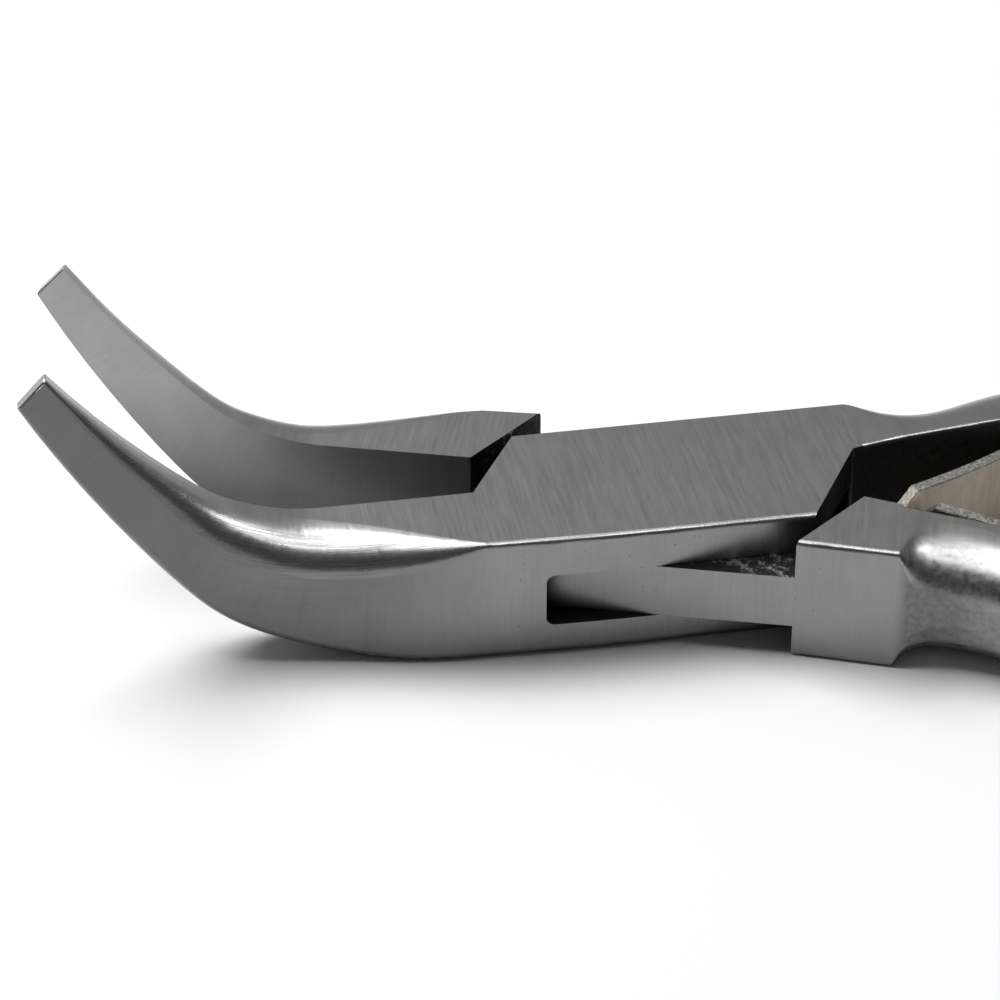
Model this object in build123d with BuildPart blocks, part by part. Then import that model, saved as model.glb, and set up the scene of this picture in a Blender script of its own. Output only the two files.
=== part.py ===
"""Bent nose pliers with a box joint, lying on their side with the jaws a little open.

Each half is drawn closed, then turned by HALF_OPEN about the pivot. The origin is on the
pivot axis at the joint's underside, the jaws point to -X and curve up, the handles to +X.
Drawn closed, the box half has its jaw at -Y and its handle at +Y, and the tongue half is
the other way round, so it is drawn on the box half's side and mirrored.
"""
import os
from math import cos, degrees, radians, sin, tan

from build123d import *

TOLERANCE = 0.01

# Joint, in mm and degrees
HALF_OPEN = 9.45
THICK = 9.5
MIDDLE = THICK / 2
MATE_GAP = 0.03
SLOT_LOW, SLOT_HIGH = 2.45, 6.58
SLOT_CLEAR = 0.05
SLOT_REACH = 11.93
SLOT_LENGTH = 60.0
SLOT_TILT = 29.6
SLOT_ROUND = 0.6
TONGUE_RADIUS = 11.5
PIN_RADIUS = 2.0
TONGUE_EDGE = 0.3
PIN_CLEAR = 0.03
TOP_EDGE = 0.38
UNDER_EDGE = 0.6

# Plan of the box half's joint, closed
HALF_WIDTH = 7.05
JAW_ROOT_X = -14.0
JAW_ROOT_WIDTH = 6.69
FRONT_SHOULDER = (-13.7, 0.0), (-12.3, 2.4), (-9.55, HALF_WIDTH)
REAR_SHOULDER = (9.0, -7.1), (13.8, 0.84)
SIDE_STATIONS = ((JAW_ROOT_X, JAW_ROOT_WIDTH), (-11.0, 6.84), (-8.0, 6.95), (0.0, 7.04), (12.0, 7.12))
SIDE_DEPTH = 5.0
SIDE_MARGIN = 1.0

# Plan of the tongue half, closed and mirrored to the same side
JAW_SHOULDER = (-13.9, 0.0), (-9.75, -7.0)
BLOCK_SHOULDER = (9.8, 7.3), (14.0, 0.9)
BLOCK_MARGIN = 1.0

# Jaws. Seen from the side, the top and the underside leave the joint level and then
# turn up through arcs, each (radius, slope at its end).
TOP_START, TOP_ARCS = -24.5, ((13.8, 40.0), (63.7, 60.0))
UNDER_START, UNDER_ARCS = -17.5, ((31.9, 20.0), (15.5, 48.0), (75.0, 70.0))
# Each station: run along the top, run along the underside, width, top rounding across
# and down, under rounding.
JAW_STATIONS = (
    (0.0, 0.0, JAW_ROOT_WIDTH, TOP_EDGE, TOP_EDGE, UNDER_EDGE),
    (3.0, 3.0, 6.55, 1.5, 1.45, 0.6),
    (6.5, 6.75, 5.95, 2.7, 2.35, 0.6),
    (10.5, 11.05, 5.05, 3.4, 2.7, 0.6),
    (13.4, 16.0, 4.2, 3.2, 2.55, 0.55),
    (16.3, 20.6, 3.4, 2.7, 2.2, 0.5),
    (19.2, 24.85, 2.75, 2.15, 1.8, 0.5),
    (22.35, 28.1, 2.3, 1.65, 1.35, 0.45),
    (26.8, 32.7, 1.72, 1.1, 0.9, 0.4),
    (30.7, 36.6, 1.3, 0.65, 0.5, 0.35),
    (33.5, 39.5, 1.0, 0.3, 0.3, 0.3),
)
TIP_EDGE = 0.15

# Handles. Each station: x, inner face y, outer face y, height, outer rounding across and
# down. The necks differ: the box half's runs on from the joint, the tongue half's from its
# block.
BOX_NECK = (
    (14.6, 1.05, HALF_WIDTH, THICK, TOP_EDGE, TOP_EDGE),
    (15.4, 1.22, 6.98, 9.5, 0.9, 0.7),
    (16.3, 1.42, 6.85, 9.48, 1.8, 1.3),
    (17.7, 1.72, 6.7, 9.42, 2.8, 2.0),
    (19.3, 2.0, 6.6, 9.35, 3.3, 2.3),
    (20.8, 2.26, 6.75, 9.3, 3.5, 2.45),
    (22.4, 2.52, 7.25, 9.2, 3.6, 2.55),
    (24.3, 2.86, 8.05, 9.1, 3.8, 2.65),
)
BLOCK_NECK = (
    (16.8, 1.53, 7.75, THICK, TOP_EDGE, TOP_EDGE),
    (17.4, 1.65, 7.72, 9.45, 2.5, 1.8),
    (18.2, 1.8, 7.65, 9.38, 3.8, 2.9),
    (19.4, 2.0, 7.65, 9.3, 4.4, 3.5),
    (21.0, 2.28, 7.85, 9.25, 4.6, 3.75),
    (22.7, 2.57, 8.25, 9.15, 4.6, 3.8),
    (24.3, 2.86, 8.75, 9.05, 4.5, 3.7),
)
HANDLE_STATIONS = (
    (27.0, 3.35, 9.4, 8.75, 4.2, 3.3),
    (36.0, 5.0, 11.1, 7.4, 3.8, 2.8),
    (48.0, 7.2, 12.9, 7.0, 3.4, 2.7),
    (60.0, 8.1, 13.5, 6.8, 3.3, 2.6),
    (72.0, 7.5, 12.5, 6.4, 3.1, 2.4),
    (86.0, 4.9, 9.5, 6.0, 2.9, 2.2),
)
HANDLE_INNER_ROUND = 0.3
HANDLE_END_EDGE = 0.2
NECK_STEP = 1.3
HANDLE_STEP = 5.0

# Grips: dipped sleeves over the handles
GRIP_START = 41.0
GRIPPED = HANDLE_STATIONS[1:]
GRIP_WALL = 1.15
GRIP_END_WALL = 1.8
GRIP_END_EDGE = 1.4
GRIP_MOUTH_EDGE = 0.4

# Leaf springs, screwed to flat seats milled in the handles' inner faces
SEAT_SLOPE = 10.3
SEAT_MIDDLE = (33.4, 4.775)
SEAT_LENGTH = 11.6
SEAT_CUT_WIDTH = 4.0
LEAF_THICK = 0.95
LEAF_CORNER = 1.2
LEAF_END_X = 38.8
LONG_LEAF = {"bend_x": 30.5, "bend_radius": 8.0, "bend": 22.3, "blade": 12.6, "bow": 51.0, "width": 6.0}
SHORT_LEAF = {"bend_x": 32.5, "bend_radius": 6.0, "bend": 25.1, "blade": 13.75, "bow": 40.4, "width": 4.7}

# Screws that hold the leaves
SCREW_X = 35.7
SCREW_RADIUS = 1.1
SCREW_CLEAR = 0.05
SCREW_DEPTH = 4.0
HEAD_RADIUS, HEAD_HEIGHT, HEAD_EDGE = 2.1, 1.25, 0.5
DRIVE_WIDTH, DRIVE_DEPTH = 0.55, 0.6
DRIVE_TURN = 35


def seat_y(x):
    """Height in plan of a leaf's seat at x."""
    return SEAT_MIDDLE[1] + (x - SEAT_MIDDLE[0]) * tan(radians(SEAT_SLOPE))


def screw_plane():
    """Plane on the seat at the screw, facing the other handle, its x along the handle."""
    along = (cos(radians(SEAT_SLOPE)), sin(radians(SEAT_SLOPE)), 0)
    return Plane(origin=(SCREW_X, seat_y(SCREW_X), MIDDLE), x_dir=along, z_dir=(along[1], -along[0], 0))


def run_point(start_x, arcs, height, run):
    """Point at a distance along a jaw's top or underside, measured from the jaw's root."""
    left = run - (JAW_ROOT_X - start_x)
    if left <= 0:
        return Vector(JAW_ROOT_X - run, 0, height)
    slope, x, z = 0.0, start_x, height
    for radius, arc_end in arcs:
        turn = min(left / radius, radians(arc_end) - slope)
        x -= radius * (sin(slope + turn) - sin(slope))
        z += radius * (cos(slope) - cos(slope + turn))
        slope += turn
        left -= radius * turn
    return Vector(x, 0, z)


def jaw_section(top_run, under_run, width, across, down, under_round):
    """Section of the box half's jaw at a station."""
    under = run_point(UNDER_START, UNDER_ARCS, 0, under_run)
    top = run_point(TOP_START, TOP_ARCS, THICK, top_run)
    return rounded_section(under, top, width, across, down, under_round)


def rounded_section(under, top, width, across=TOP_EDGE, down=TOP_EDGE, under_round=UNDER_EDGE):
    """Section between two points on the middle plane, flat there and rounded outside."""
    up = top - under
    with BuildSketch(Plane(origin=under, x_dir=(0, 1, 0), z_dir=(up.Z, 0, -up.X))) as section:
        with BuildLine():
            centre = (across - width, up.length - down)
            top_arc = EllipticalCenterArc(centre, across, down, start_angle=90, arc_size=90)
            under_arc = CenterArc((under_round - width, under_round), under_round, 180, 90)
            Polyline(top_arc @ 0, (-MATE_GAP, up.length), (-MATE_GAP, 0), under_arc @ 1)
            Line(top_arc @ 1, under_arc @ 0)
        make_face()
    return section.sketch.face()


def handle_section(x, inner, outer, height, across, down, grow=0.0):
    """Section of the box half's handle, flat inside and rounded outside."""
    half_width, half_height = (outer - inner) / 2 + grow, height / 2 + grow
    centre_x, centre_y = half_width - across - grow, half_height - down - grow
    middle = Plane(origin=(x, (inner + outer) / 2, MIDDLE), x_dir=(0, 1, 0), z_dir=(1, 0, 0))
    with BuildSketch(middle) as section:
        with BuildLine():
            upper = EllipticalCenterArc((centre_x, centre_y), across + grow, down + grow, arc_size=90)
            lower = EllipticalCenterArc((centre_x, -centre_y), across + grow, down + grow, 270, arc_size=90)
            Polyline(upper @ 1, (-half_width, half_height), (-half_width, -half_height), lower @ 0)
            Line(lower @ 1, upper @ 0)
        make_face()
        fillet(section.vertices().group_by(Axis.X)[0], HANDLE_INNER_ROUND + grow)
    return section.sketch.face()


def with_between(stations, step):
    """The stations with smoothly interpolated ones between them, about step apart."""
    last = len(stations) - 1

    def trend(index, column):
        before, after = stations[max(index - 1, 0)], stations[min(index + 1, last)]
        return (after[column] - before[column]) / (after[0] - before[0])

    dense = []
    for index in range(last):
        here, there = stations[index], stations[index + 1]
        span = there[0] - here[0]
        steps = max(1, round(span / step))
        for t in (count / steps for count in range(steps)):
            row = [here[0] + span * t]
            for column in range(1, len(here)):
                ends = (1 + 2 * t) * (1 - t) ** 2 * here[column] + (3 - 2 * t) * t**2 * there[column]
                leave = t * (1 - t) ** 2 * span * trend(index, column)
                arrive = (t - 1) * t**2 * span * trend(index + 1, column)
                row.append(ends + leave + arrive)
            dense.append(row)
    return dense + [stations[last]]


def along(line, y):
    """Where a straight line in plan, given by two points, is at y."""
    (x0, y0), (x1, y1) = line
    return x0 + (x1 - x0) * (y - y0) / (y1 - y0), y


def side_piece(shoulder, y_inner):
    """The joint's rounded side from the jaw's root to a shoulder, as deep as y_inner."""
    y_outer = -HALF_WIDTH - SIDE_MARGIN
    with BuildPart() as piece:
        places = [(Vector(x, 0, 0), Vector(x, 0, THICK), width) for x, width in SIDE_STATIONS]
        loft(sections=[rounded_section(*place) for place in places])
        with BuildSketch():
            Polygon(
                (JAW_ROOT_X, y_outer),
                along(shoulder, y_outer),
                along(shoulder, y_inner),
                (JAW_ROOT_X, y_inner),
                align=None,
            )
        extrude(amount=THICK, mode=Mode.INTERSECT)
    return piece.part


def neck(stations):
    """The handle's neck, from the joint or the block to the first handle station."""
    last = HANDLE_STATIONS[0][0]
    rows = with_between(stations + HANDLE_STATIONS[:2], NECK_STEP)
    with BuildPart() as piece:
        loft(sections=[handle_section(*row) for row in rows if row[0] <= last])
    return piece.part


def leaf_spring(bend_x, bend_radius, bend, blade, bow, width):
    """A leaf on the box half's side: foot on the seat, bend, and a blade bowed back to its end."""
    with BuildLine() as outer:
        foot = Line((LEAF_END_X, seat_y(LEAF_END_X)), (bend_x, seat_y(bend_x)))
        turn = JernArc(foot @ 1, foot % 1, bend_radius, bend)
        JernArc(turn @ 1, turn % 1, bow, -degrees(blade / bow))
    with BuildPart() as leaf:
        with BuildSketch(Plane.XY.offset(MIDDLE - width / 2)):
            with BuildLine():
                offset(outer.line, amount=LEAF_THICK, side=Side.LEFT)
            make_face()
        extrude(amount=width)
        across = leaf.edges().filter_by(lambda edge: abs(edge.length - LEAF_THICK) < TOLERANCE)
        chamfer(across.sort_by(Axis.X)[:2], LEAF_CORNER)
        with BuildSketch(screw_plane()):
            Circle(SCREW_RADIUS + SCREW_CLEAR)
        extrude(amount=LEAF_THICK, both=True, mode=Mode.SUBTRACT)
    return leaf.part


def leaf_screw():
    """Pan-head screw through a leaf's foot on the box half's side."""
    seat = screw_plane()
    under_head = seat.offset(LEAF_THICK)
    with BuildPart() as screw:
        with BuildSketch(under_head):
            Circle(HEAD_RADIUS)
        extrude(amount=HEAD_HEIGHT)
        fillet(screw.edges().sort_by(Axis(seat.origin, seat.z_dir))[-1], HEAD_EDGE)
        with BuildSketch(under_head.offset(HEAD_HEIGHT)):
            Rectangle(3 * HEAD_RADIUS, DRIVE_WIDTH, rotation=DRIVE_TURN)
        extrude(amount=-DRIVE_DEPTH, mode=Mode.SUBTRACT)
        with BuildSketch(under_head):
            Circle(SCREW_RADIUS)
        extrude(amount=-(LEAF_THICK + SCREW_DEPTH))
    return screw.part


# Jaw and handle of the box half, closed. The tongue half's are their mirror images.
with BuildPart() as jaw:
    loft(sections=[jaw_section(*station) for station in JAW_STATIONS])
    fillet(jaw.faces().filter_by(GeomType.PLANE).sort_by(Axis.X)[0].edges(), TIP_EDGE)

with BuildPart() as handle:
    loft(sections=[handle_section(*station) for station in with_between(HANDLE_STATIONS, HANDLE_STEP)])
    fillet(handle.faces().sort_by(Axis.X)[-1].edges(), HANDLE_END_EDGE)

with BuildPart() as grip:
    grown = [handle_section(*station, grow=GRIP_WALL) for station in with_between(GRIPPED, HANDLE_STEP)]
    loft(sections=grown)
    extrude(grip.faces().sort_by(Axis.X)[-1], amount=GRIP_END_WALL)
    fillet(grip.faces().sort_by(Axis.X)[-1].edges(), GRIP_END_EDGE)
    split(bisect_by=Plane.YZ.offset(GRIP_START), keep=Keep.TOP)
    fillet(grip.faces().sort_by(Axis.X)[0].edges(), GRIP_MOUTH_EDGE)
    add(handle.part, mode=Mode.SUBTRACT)

with BuildPart() as seat_cut:
    with BuildSketch(Plane(origin=(*SEAT_MIDDLE, 0)).rotated((0, 0, SEAT_SLOPE))):
        Rectangle(SEAT_LENGTH, SEAT_CUT_WIDTH, align=(Align.CENTER, Align.MAX))
    extrude(amount=THICK)
    with BuildSketch(screw_plane()):
        Circle(SCREW_RADIUS)
    extrude(amount=-SCREW_DEPTH)

with BuildPart() as slot:
    with BuildSketch(Plane.XY.offset(SLOT_LOW).rotated((0, 0, SLOT_TILT))):
        Rectangle(2 * SLOT_REACH, SLOT_LENGTH)
    extrude(amount=SLOT_HIGH - SLOT_LOW)
    fillet(slot.edges().sort_by(SortBy.LENGTH)[-4:], SLOT_ROUND)

# Box half: the joint's full width, slotted for the tongue
with BuildPart() as box_closed:
    rear_x, rear_inner = BOX_NECK[0][:2]
    with BuildSketch():
        with BuildLine():
            shoulder = ThreePointArc(*FRONT_SHOULDER)
            Polyline(
                shoulder @ 1,
                (rear_x, HALF_WIDTH),
                (rear_x, rear_inner),
                REAR_SHOULDER[1],
                along(REAR_SHOULDER, -SIDE_DEPTH),
                (JAW_ROOT_X, -SIDE_DEPTH),
                (JAW_ROOT_X, -MATE_GAP),
                (FRONT_SHOULDER[0][0], -MATE_GAP),
                shoulder @ 0,
            )
        make_face()
    extrude(amount=THICK)
    fillet(box_closed.edges().filter_by(Axis.X).sort_by(Axis.Y)[-2:], TOP_EDGE)
    add(side_piece(REAR_SHOULDER, -SIDE_DEPTH))
    add(jaw.part)
    add(neck(BOX_NECK))
    add(handle.part)
    add(seat_cut.part, mode=Mode.SUBTRACT)
    add(slot.part, mode=Mode.SUBTRACT)
    with Locations((0, 0, THICK)):
        Hole(PIN_RADIUS)

# Tongue half, mirrored to the box half's side: block, tongue and jaw root
with BuildPart() as block:
    (x0, y0), (inner_x, inner_y) = BLOCK_SHOULDER
    x1, end_inner, y1 = BLOCK_NECK[0][:3]
    start_x = x0 - BLOCK_MARGIN
    start_outer = y0 - BLOCK_MARGIN * (y1 - y0) / (x1 - x0)
    outers = (start_x, start_outer), (x1, y1)
    loft(sections=[handle_section(x, 0, y, THICK, TOP_EDGE, TOP_EDGE) for x, y in outers], ruled=True)
    with BuildSketch():
        Polygon(
            along(BLOCK_SHOULDER, y1 + BLOCK_MARGIN),
            (inner_x, inner_y),
            (x1, end_inner),
            (x1 + BLOCK_MARGIN, end_inner),
            (x1 + BLOCK_MARGIN, y1 + BLOCK_MARGIN),
            align=None,
        )
    extrude(amount=THICK, mode=Mode.INTERSECT)

with BuildPart() as tongue:
    with BuildSketch(Plane.XY.offset(SLOT_LOW + SLOT_CLEAR)):
        Circle(TONGUE_RADIUS)
        with Locations((0, -HALF_WIDTH)):
            Rectangle(
                2 * TONGUE_RADIUS,
                HALF_WIDTH + BLOCK_SHOULDER[0][1],
                align=(Align.CENTER, Align.MIN),
                mode=Mode.INTERSECT,
            )
    extrude(amount=SLOT_HIGH - SLOT_LOW - 2 * SLOT_CLEAR)
    fillet(tongue.edges().filter_by(GeomType.CIRCLE), TONGUE_EDGE)

with BuildPart() as tongue_mirrored:
    add(tongue.part)
    with BuildSketch(Plane.XY.offset(SLOT_LOW + SLOT_CLEAR)):
        Polygon(
            (0, -MATE_GAP),
            along(JAW_SHOULDER, -MATE_GAP),
            JAW_SHOULDER[1],
            (0, -HALF_WIDTH),
            align=None,
        )
        Polygon(
            (0, BLOCK_SHOULDER[1][1]),
            BLOCK_SHOULDER[1],
            BLOCK_SHOULDER[0],
            (0, BLOCK_SHOULDER[0][1]),
            align=None,
        )
    extrude(amount=SLOT_HIGH - SLOT_LOW - 2 * SLOT_CLEAR)
    add(block.part)
    add(side_piece(JAW_SHOULDER, -MATE_GAP))
    add(jaw.part)
    add(neck(BLOCK_NECK))
    add(handle.part)
    add(seat_cut.part, mode=Mode.SUBTRACT)
    with Locations((0, 0, THICK)):
        Hole(PIN_RADIUS + PIN_CLEAR)

with BuildPart() as pin_closed:
    with BuildSketch():
        Circle(PIN_RADIUS)
    extrude(amount=THICK)

box_side = {
    "box_half": box_closed.part,
    "pivot_pin": pin_closed.part,
    "box_half_grip": grip.part,
    "long_leaf_spring": leaf_spring(**LONG_LEAF),
    "long_leaf_screw": leaf_screw(),
}
tongue_side = {
    "tongue_half": tongue_mirrored.part,
    "tongue_half_grip": grip.part,
    "short_leaf_spring": leaf_spring(**SHORT_LEAF),
    "short_leaf_screw": leaf_screw(),
}

os.makedirs("parts", exist_ok=True)
for node, closed in box_side.items():
    with BuildPart() as opened:
        add(closed, rotation=(0, 0, HALF_OPEN))
    opened.part.label = node
    export_step(opened.part, f"parts/{node}.step")
for node, closed in tongue_side.items():
    with BuildPart() as opened:
        add(closed.mirror(Plane.XZ), rotation=(0, 0, -HALF_OPEN))
    opened.part.label = node
    export_step(opened.part, f"parts/{node}.step")
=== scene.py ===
"""Bent nose pliers on a pale table, seen from the jaws' near side. Metres, but for the
materials' own coordinates and the leaf springs' sizes, which are in millimetres."""
from math import cos, radians, sin, tan

import bmesh
import bpy
from mathutils import Matrix, Vector


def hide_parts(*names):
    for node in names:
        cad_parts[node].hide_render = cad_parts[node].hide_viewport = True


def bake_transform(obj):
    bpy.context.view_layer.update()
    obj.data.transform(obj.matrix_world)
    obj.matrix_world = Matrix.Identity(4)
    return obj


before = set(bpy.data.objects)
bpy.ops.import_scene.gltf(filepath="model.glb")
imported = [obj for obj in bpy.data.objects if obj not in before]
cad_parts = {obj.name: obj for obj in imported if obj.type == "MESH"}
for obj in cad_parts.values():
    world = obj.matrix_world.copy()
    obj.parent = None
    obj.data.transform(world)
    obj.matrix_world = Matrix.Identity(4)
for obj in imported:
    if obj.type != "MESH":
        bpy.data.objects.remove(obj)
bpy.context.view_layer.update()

MM = 0.001
HALF_OPEN = 9.45
MIDDLE = 4.75

# ---- camera -------------------------------------------------------------------------
CAMERA_AT = Vector((-0.01486, -0.21058, 0.14415))
CAMERA_ELEVATION = 33.0
CAMERA_TURN = -0.88
CAMERA_LENS = 128.24

camera_data = bpy.data.cameras.new("camera")
camera_data.lens = CAMERA_LENS
camera_data.sensor_width = 36.0
camera_data.clip_start = 0.01
camera = bpy.data.objects.new("camera", camera_data)
camera.location = CAMERA_AT
camera.rotation_euler = (radians(90 - CAMERA_ELEVATION), 0, radians(CAMERA_TURN))
bpy.context.scene.collection.objects.link(camera)
bpy.context.scene.camera = camera

# ---- materials ----------------------------------------------------------------------
NOISE_SPAN = (0.3, 0.7)  # most of a noise's values lie in it


class Graph:
    """A short way to write a material's nodes."""

    def __init__(self, name):
        self.material = bpy.data.materials.new(name)
        self.material.use_nodes = True
        self.tree = self.material.node_tree
        self.shader = self.tree.nodes["Principled BSDF"]

    def add(self, kind, inputs=None, **settings):
        """A node with its settings and inputs; an input that is a socket gets linked."""
        made = self.tree.nodes.new("ShaderNode" + kind)
        for key, value in settings.items():
            setattr(made, key, value)
        for key, value in (inputs or {}).items():
            self.put(made.inputs[key], value)
        return made

    def put(self, socket, value):
        if isinstance(value, bpy.types.NodeSocket):
            self.tree.links.new(value, socket)
        else:
            socket.default_value = value

    def math(self, operation, *values):
        return self.add("Math", dict(enumerate(values)), operation=operation).outputs[0]

    def times(self, *values):
        """The product of several values or masks."""
        product = values[0]
        for value in values[1:]:
            product = self.math("MULTIPLY", product, value)
        return product

    def length(self, first, second):
        """The length of a vector in a plane."""
        squares = self.math("ADD", self.times(first, first), self.times(second, second))
        return self.math("SQRT", squares)

    def size(self, value):
        return self.math("ABSOLUTE", value)

    def ramp(self, value, span, out=(0.0, 1.0)):
        """value taken from span to out, clamped."""
        inputs = {0: value, 1: span[0], 2: span[1], 3: out[0], 4: out[1]}
        return self.add("MapRange", inputs).outputs[0]

    def spread(self, noise, low, high):
        """A noise spread over low to high."""
        return self.ramp(noise, NOISE_SPAN, (low, high))

    def blend(self, factor, first, second):
        """A number between two numbers."""
        return self.add("Mix", {0: factor, 2: first, 3: second}).outputs[0]

    def mix(self, factor, first, second):
        """A colour between two colours."""
        made = self.add("Mix", {0: factor}, data_type="RGBA")
        self.put(made.inputs[6], first)
        self.put(made.inputs[7], second)
        return made.outputs[2]

    def vector(self, x, y, z):
        return self.add("CombineXYZ", {0: x, 1: y, 2: z}).outputs[0]

    def split(self, vector):
        return self.add("SeparateXYZ", {0: vector}).outputs

    def scaled(self, vector, scales):
        inputs = {0: vector, 1: scales}
        return self.add("VectorMath", inputs, operation="MULTIPLY").outputs[0]

    def noise(self, coordinates, scale=1.0, detail=2.0, roughness=0.5):
        inputs = {
            "Vector": coordinates, "Scale": scale, "Detail": detail, "Roughness": roughness,
        }
        return self.add("TexNoise", inputs).outputs["Fac"]

    def coordinates(self, kind):
        return self.add("TexCoord").outputs[kind]

    def place(self):
        """Object coordinates in millimetres."""
        return self.scaled(self.coordinates("Object"), (1 / MM,) * 3)

    def turned(self, socket, turn, side, scale):
        """Coordinates in one half's own closed frame, mirrored to the box half's side."""
        inputs = {"Vector": socket, "Angle": radians(-turn)}
        straight = self.add("VectorRotate", inputs, rotation_type="Z_AXIS").outputs[0]
        return self.scaled(straight, (scale, side * scale, scale))

    def finish(self, colour, roughness, height, strength, distance, metallic=1.0):
        bump = self.add("Bump", {"Strength": strength, "Distance": distance, "Height": height})
        self.put(self.shader.inputs["Base Color"], colour)
        self.put(self.shader.inputs["Roughness"], roughness)
        self.put(self.shader.inputs["Normal"], bump.outputs[0])
        self.shader.inputs["Metallic"].default_value = metallic
        return self.material


STEEL_TINT = (1.0, 1.003, 0.992)

# The jaw's bend, and the spans over which the halves' regions fade in, all in a half's own
# closed frame. NORMAL spans are of the surface normal's x, y or z.
BEND_CENTRE_X, BEND_CENTRE_Z, BEND_RADIUS = -20.0, 31.0, 26.0
ROUNDED_SPAN = (0.03, 0.16)
NOT_UNDER_NORMAL = (-0.1, 0.1)
NECK_SPAN, NECK_NORMAL = (16.8, 17.6), (0.985, 0.9)
WALL_REACH, WALL_NORMAL_X, WALL_NORMAL_Z = (15.8, 15.6), (0.35, 0.55), (0.7, 0.5)
SLOT_FLOOR, SLOT_ROOF, SHELF_NORMAL = (2.1, 2.2), (6.9, 6.8), (0.4, 0.6)
SHELF_FRONT, SHELF_REAR = (-14.0, -13.5), (14.0, 13.8)
HANDLE_INSIDE_SPAN, HANDLE_INSIDE_NORMAL = (13.6, 14.0), (-0.5, -0.8)
JAW_SIDE_SPAN, JAW_SIDE_NORMAL = (-13.0, -22.0), (-0.8, -0.95)
JAW_INNER_SPAN, JAW_INNER_NORMAL, JAW_INNER_RISE = (-10.0, -13.0), (0.8, 0.95), (5.0, 14.0)
JAW_TOP_SPAN, JAW_TOP_NORMAL, JAW_TOP_RISE = (-13.0, -16.0), (0.3, 0.4), (9.5, 16.0)
PIT_REACH, PIT_NORMAL = (13.0, 11.0), (0.8, 0.95)

# Ground faces: grey levels, and shares of them that the jaw's faces take. The inner face's and
# the top's shares grow with height: painted shade low on the jaw's inner face, painted light up
# its inner face and top towards the tip.
GRIND_LEVELS, CLOUD_SHARES = (0.232, 0.276), (0.95, 1.04)
JAW_SIDE_SHARE, JAW_INNER_PAINTED_SHADING, JAW_TOP_PAINTED_LIGHT = 0.6, (0.5, 1.32), (1.0, 2.1)
SATIN_ROUGHNESS = (0.3, 0.38)
# Polished edges, streaked along the tool
STREAK_SPAN, STREAK_LEVELS, STREAK_ROUGHNESS = (0.32, 0.68), (0.16, 0.48), (0.33, 0.22)
STREAK_HEIGHT = 1.5
# Necks, grainy, with painted shade on their sides and a painted sheen on their rounding
NECK_SIDE_PAINTED_SHADE, NECK_ROUNDED_PAINTED_SHEEN, GRAIN_SHARES = 0.155, 0.32, (0.78, 1.22)
NECK_ROUGHNESS, GRAIN_HEIGHT = (0.26, 0.36), 0.5
# Hair scratches on the flats and small pits on the joint's sides
HAIR_SPAN, HAIR_PATCHES, HAIR_LEVEL = (0.0009, 0.0003), (0.6, 0.64), 0.06
PIT_SPAN, PIT_PATCHES, PIT_LEVEL = (0.68, 0.72), (0.5, 0.58), 0.05
# Raw walls, torn by the cutter, in painted shade with lighter torn chips, and painted shade on
# the handles' insides
TORN_SPAN, TORN_PATCHES, RAW_WALL_PAINTED_SHADE = (0.5, 0.66), (0.46, 0.6), 0.02
RAW_ROUGHNESS, CHIP_HEIGHT = (0.65, 0.35), 8.0
HANDLE_INSIDE_PAINTED_SHADE = (0.03, 0.065)
STEEL_BUMP, STEEL_BUMP_DEPTH = 0.3, 0.012 * MM


def along_tool(g, x, z):
    """Distance along the tool, which follows the jaw's bend, and depth under its centre."""
    ahead = g.math("MAXIMUM", g.math("SUBTRACT", BEND_CENTRE_X, x), 0.0)
    below = g.math("SUBTRACT", BEND_CENTRE_Z, z)
    round_bend = g.times(g.math("ARCTAN2", ahead, below), BEND_RADIUS)
    run = g.math("SUBTRACT", round_bend, g.math("MAXIMUM", x, BEND_CENTRE_X))
    return run, g.length(ahead, below)


def grind_lines(g, run, y, depth):
    """Coarse and fine grinding lines across the tool."""

    def lines(fineness, spread):
        across = g.vector(g.times(run, fineness), g.times(y, spread), g.times(depth, spread))
        return g.noise(across, detail=3.0, roughness=0.6)

    return g.math("ADD", g.times(lines(4.0, 0.16), 0.55), g.times(lines(11.0, 0.5), 0.45))


def raw_walls(g, x, y, z, nx, nz):
    """A mask of the rough walls: across the joint, and above and below the tongue."""
    wall = g.times(
        g.ramp(g.length(x, y), WALL_REACH),
        g.ramp(g.size(nx), WALL_NORMAL_X),
        g.ramp(g.size(nz), WALL_NORMAL_Z),
    )
    shelf = g.times(
        g.ramp(z, SLOT_FLOOR),
        g.ramp(z, SLOT_ROOF),
        g.ramp(g.size(nz), SHELF_NORMAL),
        g.ramp(x, SHELF_FRONT),
        g.ramp(x, SHELF_REAR),
    )
    return g.math("MAXIMUM", wall, shelf)


def ground_level(g, grind, cloud, x, z, ny, nz):
    """Grey level of the ground faces: darker on the jaw's side, with painted shade low on the
    jaw's inner face and painted light up its inner face and top towards the tip.
    """
    jaw_side = g.times(g.ramp(x, JAW_SIDE_SPAN), g.ramp(ny, JAW_SIDE_NORMAL))
    jaw_inner = g.times(g.ramp(x, JAW_INNER_SPAN), g.ramp(ny, JAW_INNER_NORMAL))
    jaw_top = g.times(g.ramp(x, JAW_TOP_SPAN), g.ramp(nz, JAW_TOP_NORMAL))
    return g.times(
        g.spread(grind, *GRIND_LEVELS),
        g.spread(cloud, *CLOUD_SHARES),
        g.blend(jaw_side, 1.0, JAW_SIDE_SHARE),
        # painted shade low on the jaw's inner face, painted light higher up it and on the top
        # towards the tip
        g.blend(jaw_inner, 1.0, g.ramp(z, JAW_INNER_RISE, JAW_INNER_PAINTED_SHADING)),
        g.blend(jaw_top, 1.0, g.ramp(z, JAW_TOP_RISE, JAW_TOP_PAINTED_LIGHT)),
    )


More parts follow.
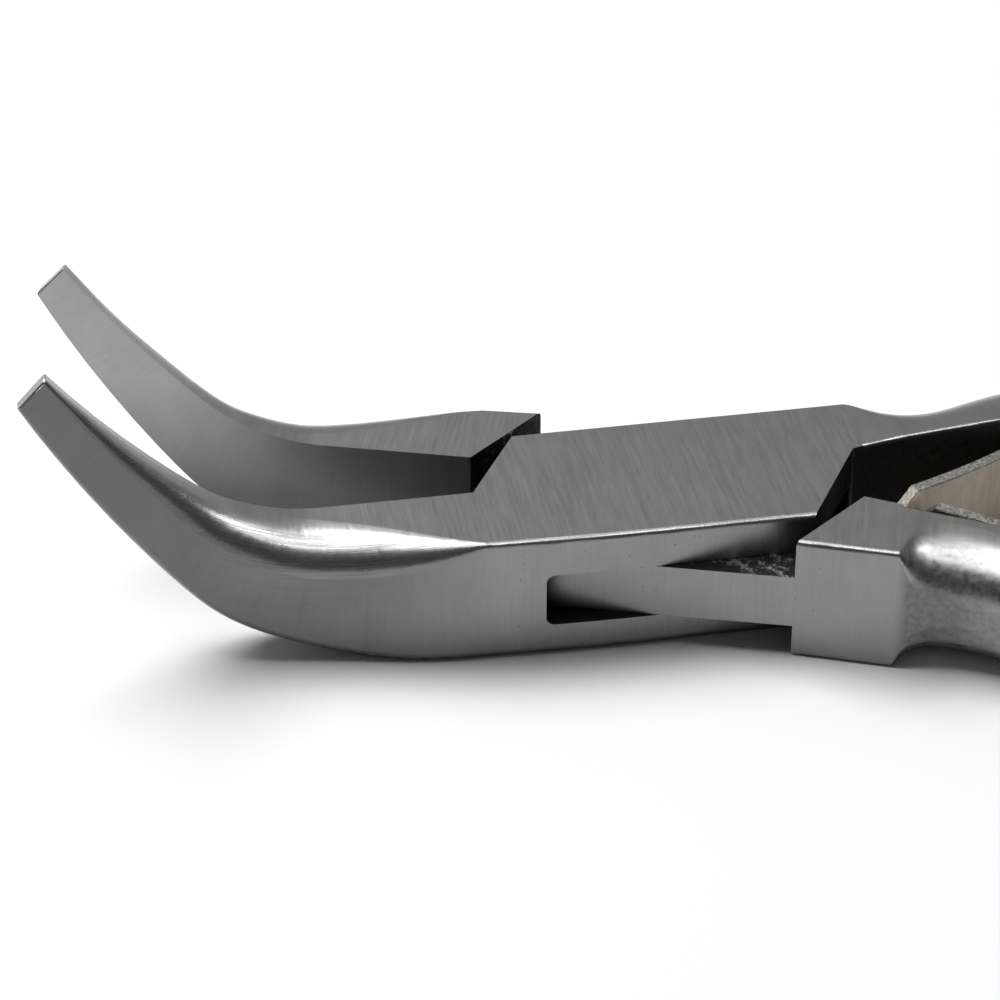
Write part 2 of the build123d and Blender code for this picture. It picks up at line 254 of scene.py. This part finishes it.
def scratched(g, level, place, x, ny, nz):
    """level with hair scratches on the flats and pits on the joint's sides."""
    hair = g.size(g.math("SUBTRACT", g.noise(place, 0.16, detail=0.5), 0.5))
    patches = g.ramp(g.noise(place, 0.6, detail=1.0), HAIR_PATCHES)
    hair = g.times(g.ramp(hair, HAIR_SPAN), patches, g.size(nz))
    pits = g.times(
        g.ramp(g.noise(place, 2.6, detail=2.0), PIT_SPAN),
        g.ramp(g.noise(place, 0.35), PIT_PATCHES),
        g.ramp(g.size(x), PIT_REACH),
        g.ramp(g.size(ny), PIT_NORMAL),
    )
    return g.blend(pits, g.math("ADD", level, g.times(hair, HAIR_LEVEL)), PIT_LEVEL)


def tool_steel(name, turn, side, chip_level):
    """Ground steel: fine lines across the tool that follow the jaw's bend, polished
    rounded edges streaked along the tool, grainy necks, and rough walls in and around the slot,
    chipped where the cutter tore them. Painted shade makes those walls and the handles' insides
    nearly black and darkens the necks' sides and the jaw's inner face low down; painted light
    brightens the jaw towards its tip, and a painted sheen the necks' rounding."""
    g = Graph(name)
    place = g.turned(g.coordinates("Object"), turn, side, 1 / MM)
    normal = g.turned(g.coordinates("Normal"), turn, side, 1.0)
    x, y, z = g.split(place)
    nx, ny, nz = g.split(normal)
    run, depth = along_tool(g, x, z)

    grind = grind_lines(g, run, y, depth)
    lengthwise = g.vector(g.times(run, 0.12), g.times(g.math("SUBTRACT", depth, y), 4.5), 0.0)
    streak = g.noise(lengthwise, detail=4.0, roughness=0.7)
    cloud = g.noise(place, 0.35, detail=4.0, roughness=0.6)
    grain = g.noise(place, 2.2, detail=3.0, roughness=0.7)
    chips = g.noise(place, 1.6, detail=6.0, roughness=0.7)

    sideways = g.times(ny, ny)
    rounded = g.ramp(g.times(sideways, g.math("SUBTRACT", 1.0, sideways)), ROUNDED_SPAN)
    neck = g.times(g.ramp(x, NECK_SPAN), g.ramp(g.size(nz), NECK_NORMAL))
    raw = raw_walls(g, x, y, z, nx, nz)
    inside = g.times(g.ramp(x, HANDLE_INSIDE_SPAN), g.ramp(ny, HANDLE_INSIDE_NORMAL))

    level = ground_level(g, grind, cloud, x, z, ny, nz)
    polished = g.times(rounded, g.ramp(nz, NOT_UNDER_NORMAL))
    level = g.blend(polished, level, g.ramp(streak, STREAK_SPAN, STREAK_LEVELS))
    # painted shade on the neck's sides, painted sheen on its rounding
    neck_shade_and_sheen = g.blend(rounded, NECK_SIDE_PAINTED_SHADE, NECK_ROUNDED_PAINTED_SHEEN)
    level = g.blend(neck, level, g.times(neck_shade_and_sheen, g.spread(grain, *GRAIN_SHARES)))
    level = scratched(g, level, place, x, ny, nz)
    torn_patches = g.ramp(g.noise(place, 0.42, detail=1.0), TORN_PATCHES)
    torn = g.times(g.ramp(chips, TORN_SPAN), torn_patches)
    # painted shade: the handles' inner faces drawn nearly black
    level = g.blend(inside, level, g.spread(chips, *HANDLE_INSIDE_PAINTED_SHADE))
    # painted shade: the walls in and around the slot drawn nearly black, with lighter torn chips
    level = g.blend(raw, level, g.blend(torn, RAW_WALL_PAINTED_SHADE, chip_level))

    roughness = g.spread(grind, *SATIN_ROUGHNESS)
    roughness = g.blend(rounded, roughness, g.ramp(streak, STREAK_SPAN, STREAK_ROUGHNESS))
    roughness = g.blend(neck, roughness, g.spread(grain, *NECK_ROUGHNESS))
    chipped = g.ramp(chips, TORN_SPAN, RAW_ROUGHNESS)
    roughness = g.blend(g.math("MAXIMUM", raw, inside), roughness, chipped)

    height = g.blend(rounded, grind, g.times(streak, STREAK_HEIGHT))
    height = g.blend(neck, height, g.times(grain, GRAIN_HEIGHT))
    height = g.blend(raw, height, g.times(chips, CHIP_HEIGHT))
    return g.finish(
        g.scaled(level, STEEL_TINT), roughness, height, STEEL_BUMP, STEEL_BUMP_DEPTH
    )


LEAF_DARK, LEAF_LIGHT = (0.28, 0.24, 0.195, 1), (0.41, 0.355, 0.3, 1)
LEAF_STAIN = (0.225, 0.185, 0.145, 1)
SHEAR_DARK, SHEAR_LIGHT = (0.09, 0.085, 0.07, 1), (0.42, 0.42, 0.4, 1)


def leaf_steel(name):
    """Rolled spring strip, brownish, with faint streaks across it and grey sheared edges."""
    g = Graph(name)
    place = g.place()
    rolled = g.scaled(place, (3.5, 0.6, 0.25))
    roll = g.noise(rolled, detail=4.0, roughness=0.7)
    stain = g.noise(place, 0.7, detail=4.0, roughness=0.65)
    burr = g.noise(place, 5.0, detail=4.0, roughness=0.7)
    sheared = g.ramp(g.size(g.split(g.coordinates("Normal"))[2]), (0.5, 0.8))
    face = g.mix(g.spread(roll, 0.0, 1.0), LEAF_DARK, LEAF_LIGHT)
    face = g.mix(g.ramp(stain, (0.45, 0.75), (0.0, 0.5)), face, LEAF_STAIN)
    edge = g.mix(g.ramp(burr, (0.35, 0.65)), SHEAR_DARK, SHEAR_LIGHT)
    colour = g.mix(sheared, face, edge)
    height = g.blend(sheared, roll, g.times(burr, 4.0))
    return g.finish(colour, g.spread(roll, 0.38, 0.52), height, 0.35, 0.015 * MM)


def turned_steel(name):
    """Bright screw steel with a fine grain."""
    g = Graph(name)
    marks = g.noise(g.place(), 6.0, detail=3.0, roughness=0.6)
    colour = g.scaled(g.spread(marks, 0.38, 0.5), STEEL_TINT)
    return g.finish(colour, g.spread(marks, 0.2, 0.34), marks, 0.2, 0.01 * MM)


def vinyl(name):
    """Dipped vinyl with a faint orange peel."""
    g = Graph(name)
    place = g.place()
    peel = g.noise(place, 0.9, detail=2.0)
    cloud = g.noise(place, 0.09, detail=3.0)
    colour = g.mix(cloud, (0.011, 0.011, 0.012, 1), (0.02, 0.02, 0.022, 1))
    return g.finish(colour, g.spread(peel, 0.32, 0.44), peel, 0.25, 0.1 * MM, metallic=0.0)


def dress(node, material):
    """Gives a CAD node a material in place of its own."""
    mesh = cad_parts[node].data
    mesh.materials.clear()
    mesh.materials.append(material)


BOX_STEEL = tool_steel("box_side_steel", HALF_OPEN, 1, chip_level=0.05)
TONGUE_STEEL = tool_steel("tongue_side_steel", -HALF_OPEN, -1, chip_level=0.5)
SPRING_STEEL = leaf_steel("leaf_steel")
SCREW_STEEL = turned_steel("turned_steel")
VINYL = vinyl("dipped_vinyl")
dress("box_half", BOX_STEEL)
dress("pivot_pin", BOX_STEEL)
dress("tongue_half", TONGUE_STEEL)
for leaf in ("long_leaf", "short_leaf"):
    dress(leaf + "_screw", SCREW_STEEL)
for half in ("box_half", "tongue_half"):
    dress(half + "_grip", VINYL)

# ---- leaf springs -------------------------------------------------------------------
# Millimetres, in a half's own closed frame, on the box half's side.
SEAT_SLOPE = 10.3
SEAT_MIDDLE = (33.4, 4.775)
LEAF_THICK = 0.95
LEAF_CORNER = 1.2
LEAF_END_X = 38.8
LEAF_STEP = 0.4
LEAF_ROWS = 8
SHEARED_EDGE = 0.07
SHARP_ANGLE = 35


def leaf_line(bend_x, bend_radius, bend, blade, bow):
    """Stations on a leaf's outer face: distance from the foot's end, x, y and heading."""
    heading = radians(180 + SEAT_SLOPE)
    seat_x, seat_y = SEAT_MIDDLE
    x, y = LEAF_END_X, seat_y + (LEAF_END_X - seat_x) * tan(radians(SEAT_SLOPE))
    foot = (LEAF_END_X - bend_x) / cos(radians(SEAT_SLOPE))
    parts = (
        (foot, 0.0),
        (bend_radius * radians(bend), 1 / bend_radius),
        (blade - LEAF_CORNER, -1 / bow),
        (LEAF_CORNER, -1 / bow),
    )
    run = 0.0
    stations = [(run, x, y, heading)]
    for length, curvature in parts:
        steps = max(1, round(length / LEAF_STEP))
        step = length / steps
        for _ in range(steps):
            middle = heading + curvature * step / 2
            x, y = x + step * cos(middle), y + step * sin(middle)
            heading += curvature * step
            run += step
            stations.append((run, x, y, heading))
    return stations, foot


def leaf_spring(name, node, half_body, leaf_body, turn, side, width, **shape):
    """A leaf as one fine strip, drawn with its bend, in place of its CAD node."""
    stations, foot = leaf_line(**shape)
    whole = stations[-1][0]
    place = Matrix.Rotation(radians(turn), 4, "Z") @ Matrix.Diagonal((MM, side * MM, MM, 1))
    strip = bmesh.new()
    rings = []
    for run, x, y, heading in stations:
        half = width / 2 - max(0.0, LEAF_CORNER - (whole - run))
        inward = Vector((-sin(heading), cos(heading), 0)) * LEAF_THICK
        ring = []
        for offset, direction in ((Vector(), 1), (inward, -1)):
            for row in range(LEAF_ROWS + 1):
                z = MIDDLE + direction * half * (2 * row / LEAF_ROWS - 1)
                ring.append(strip.verts.new(place @ (Vector((x, y, z)) + offset)))
        rings.append(ring)
    count = len(rings[0])
    long_edges = []
    for ring, after in zip(rings, rings[1:]):
        for k in range(count):
            strip.faces.new((ring[k], ring[(k + 1) % count], after[(k + 1) % count], after[k]))
        for k in (0, LEAF_ROWS, LEAF_ROWS + 1, count - 1):
            long_edges.append(strip.edges.get((ring[k], after[k])))
    strip.faces.new(rings[0])
    strip.faces.new(rings[-1])
    bmesh.ops.recalc_face_normals(strip, faces=strip.faces)
    bmesh.ops.bevel(strip, geom=long_edges, offset=SHEARED_EDGE * MM, segments=2, affect="EDGES")
    mesh = bpy.data.meshes.new(name)
    strip.to_mesh(mesh)
    strip.free()
    mesh.shade_smooth()
    mesh.set_sharp_from_angle(angle=radians(SHARP_ANGLE))
    mesh.materials.append(SPRING_STEEL)
    piece = bpy.data.objects.new(name, mesh)
    bpy.context.scene.collection.objects.link(piece)
    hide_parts(node)

    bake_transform(piece)


leaf_spring(
    "long_leaf", "long_leaf_spring", "box_side", "long_leaf", HALF_OPEN, 1,
    width=6.0, bend_x=30.5, bend_radius=8.0, bend=22.3, blade=12.6, bow=51.0,
)
leaf_spring(
    "short_leaf", "short_leaf_spring", "tongue_side", "short_leaf", -HALF_OPEN, -1,
    width=4.7, bend_x=32.5, bend_radius=6.0, bend=25.1, blade=13.75, bow=40.4,
)

# ---- floor and light ----------------------------------------------------------------
FLOOR_SIZE, FLOOR_LEVEL, FLOOR_ROUGHNESS, FLOOR_SPECULAR = 6.0, 0.85, 0.7, 0.1
BEHIND_LEVEL, FRONT_LEVEL = 0.43, 0.08
FADE_START, FADE_END = -0.2, 0.6
LAMP_DISTANCE = 0.8

bpy.context.scene.view_settings.view_transform = "Standard"

floor_graph = Graph("floor")
floor_shader = floor_graph.shader.inputs
floor_shader["Base Color"].default_value = (FLOOR_LEVEL, FLOOR_LEVEL, FLOOR_LEVEL, 1.0)
floor_shader["Roughness"].default_value = FLOOR_ROUGHNESS
floor_shader["Specular IOR Level"].default_value = FLOOR_SPECULAR
bpy.ops.mesh.primitive_plane_add(size=FLOOR_SIZE, location=(0, 0, 0))
floor = bpy.context.object
floor.name = "floor"
floor.data.materials.append(floor_graph.material)

# A studio that is light behind the table and dark in front of it
world = bpy.data.worlds.new("studio")
world.use_nodes = True
tree = world.node_tree
direction = tree.nodes.new("ShaderNodeTexCoord").outputs["Generated"]
split = tree.nodes.new("ShaderNodeSeparateXYZ")
tree.links.new(direction, split.inputs[0])
fade = tree.nodes.new("ShaderNodeMapRange")
fade.interpolation_type = "SMOOTHSTEP"
for socket, value in zip(fade.inputs[1:5], (FADE_START, FADE_END, FRONT_LEVEL, BEHIND_LEVEL)):
    socket.default_value = value
tree.links.new(split.outputs["Y"], fade.inputs[0])
tree.links.new(fade.outputs[0], tree.nodes["Background"].inputs["Strength"])
tree.nodes["Background"].inputs["Color"].default_value = (1, 1, 1, 1)
bpy.context.scene.world = world


def softbox(name, azimuth, elevation, size, power):
    """An area light seen from the pivot at an azimuth (0 behind, 180 in front) and elevation."""
    data = bpy.data.lights.new(name, "AREA")
    data.shape = "RECTANGLE"
    data.size, data.size_y = size
    data.energy = power
    lamp = bpy.data.objects.new(name, data)
    a, e = radians(azimuth), radians(elevation)
    lamp.location = LAMP_DISTANCE * Vector((sin(a) * cos(e), cos(a) * cos(e), sin(e)))
    lamp.rotation_euler = (-lamp.location).to_track_quat("-Z", "Y").to_euler()
    bpy.context.scene.collection.objects.link(lamp)
    return lamp


softbox("key_box", -58, 60, (0.6, 0.44), 8.4)

# The strips only draw the steel's highlights: they leave out the floor, whose shadows they
# would wash out.
floor_only = bpy.data.collections.new("floor_only")
floor_only.objects.link(floor)
for name, azimuth, elevation, size, power in (
    ("back_strip", 0, 76, (0.9, 0.1), 0.8),
    ("top_strip", 180, 87, (0.9, 0.1), 1.6),
    ("front_strip", 180, 72, (0.9, 0.1), 1.6),
    ("right_strip", 90, 56, (0.12, 0.4), 1.1),
):
    strip = softbox(name, azimuth, elevation, size, power)
    strip.light_linking.receiver_collection = floor_only
floor_only.collection_objects[0].light_linking.link_state = "EXCLUDE"
